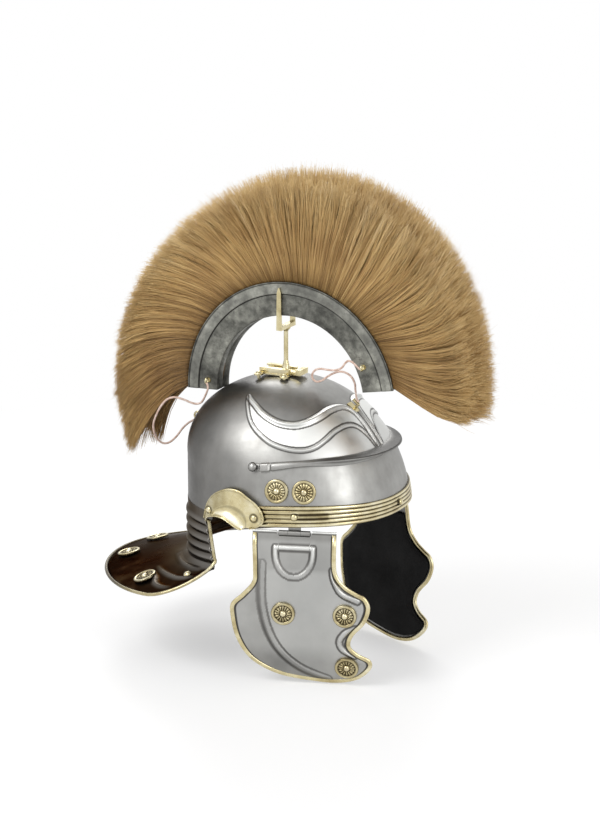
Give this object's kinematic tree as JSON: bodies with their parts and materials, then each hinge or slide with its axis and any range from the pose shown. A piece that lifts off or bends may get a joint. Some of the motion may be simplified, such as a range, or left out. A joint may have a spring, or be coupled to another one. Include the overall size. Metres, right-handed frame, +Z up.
{
  "type": "imperial gallic helmet",
  "caption": "Iron infantry helmet with brass trim, ridged and flared neck guard, hinged cheek guards and a removable arched crest box with a full horsehair plume.",
  "frame": {"origin": "middle of the head opening, level with the ears", "axes": "+X to the wearer's front, +Y to the wearer's left, +Z up through the crown"},
  "size_m": [0.4119, 0.2502, 0.4889],
  "materials": {
    "steel": "polished iron with fine scratches",
    "brass": "polished pale brass",
    "zinc": "mottled grey sheet",
    "leather": "matte black",
    "hair": "straw-coloured horsehair",
    "thong": "pale undyed thong"
  },
  "bodies": {
    "helmet": {"bowl": "steel", "leather_liner": "leather", "brow_guard": "steel", "brow_guard_rivets": "steel", "brow_band": "brass", "brow_band_rivets": "brass", "ear_guard_right": "brass", "ear_guard_left": "brass", "ear_guard_rivets": "brass", "neck_guard_edging": "brass", "edging_rivets": "brass", "bowl_rosettes": "brass", "neck_guard_rosettes": "brass", "hinge_leaf_right": "steel", "hinge_leaf_left": "steel", "hinge_pin_right": "steel", "hinge_pin_left": "steel", "crest_holder": "brass", "crest_holder_rivets": "brass", "front_hook": "brass", "rear_ring": "brass"},
    "cheek_right": {"cheek_guard_right": "steel", "cheek_piping_right": "brass", "cheek_lining_right": "leather", "cheek_hinge_leaf_right": "steel", "cheek_rosettes_right": "brass"},
    "cheek_left": {"cheek_guard_left": "steel", "cheek_piping_left": "brass", "cheek_lining_left": "leather", "cheek_hinge_leaf_left": "steel", "cheek_rosettes_left": "brass"},
    "fork": {"crest_slider": "brass", "crest_fork": "brass"},
    "crest": {"crest_box": "zinc", "crest_eyelet_front": "brass", "crest_eyelet_rear": "brass", "plume_1": "hair", "plume_2": "hair", "plume_3": "hair", "plume_4": "hair", "plume_5": "hair", "plume_6": "hair", "plume_7": "hair", "plume_8": "hair", "front_tie": "thong", "rear_tie": "thong"}
  },
  "joints": [
    {"name": "cheek_hinge_right", "type": "hinge", "parent": "helmet", "child": "cheek_right", "pos_m": [0.045, -0.08984, -0.004], "axis": [-0.9397, -0.342, 0], "range_deg": [-10, 100]},
    {"name": "cheek_hinge_left", "type": "hinge", "parent": "helmet", "child": "cheek_left", "pos_m": [0.045, 0.08984, -0.004], "axis": [0.9397, -0.342, 0], "range_deg": [-10, 100]},
    {"name": "fork_slide", "type": "slide", "parent": "helmet", "child": "fork", "axis": [1, 0, 0], "range_m": [0, 0.02]},
    {"name": "crest_lift", "type": "slide", "parent": "helmet", "child": "crest", "axis": [0, 0, 1], "range_m": [0, 0.06]}
  ]
}
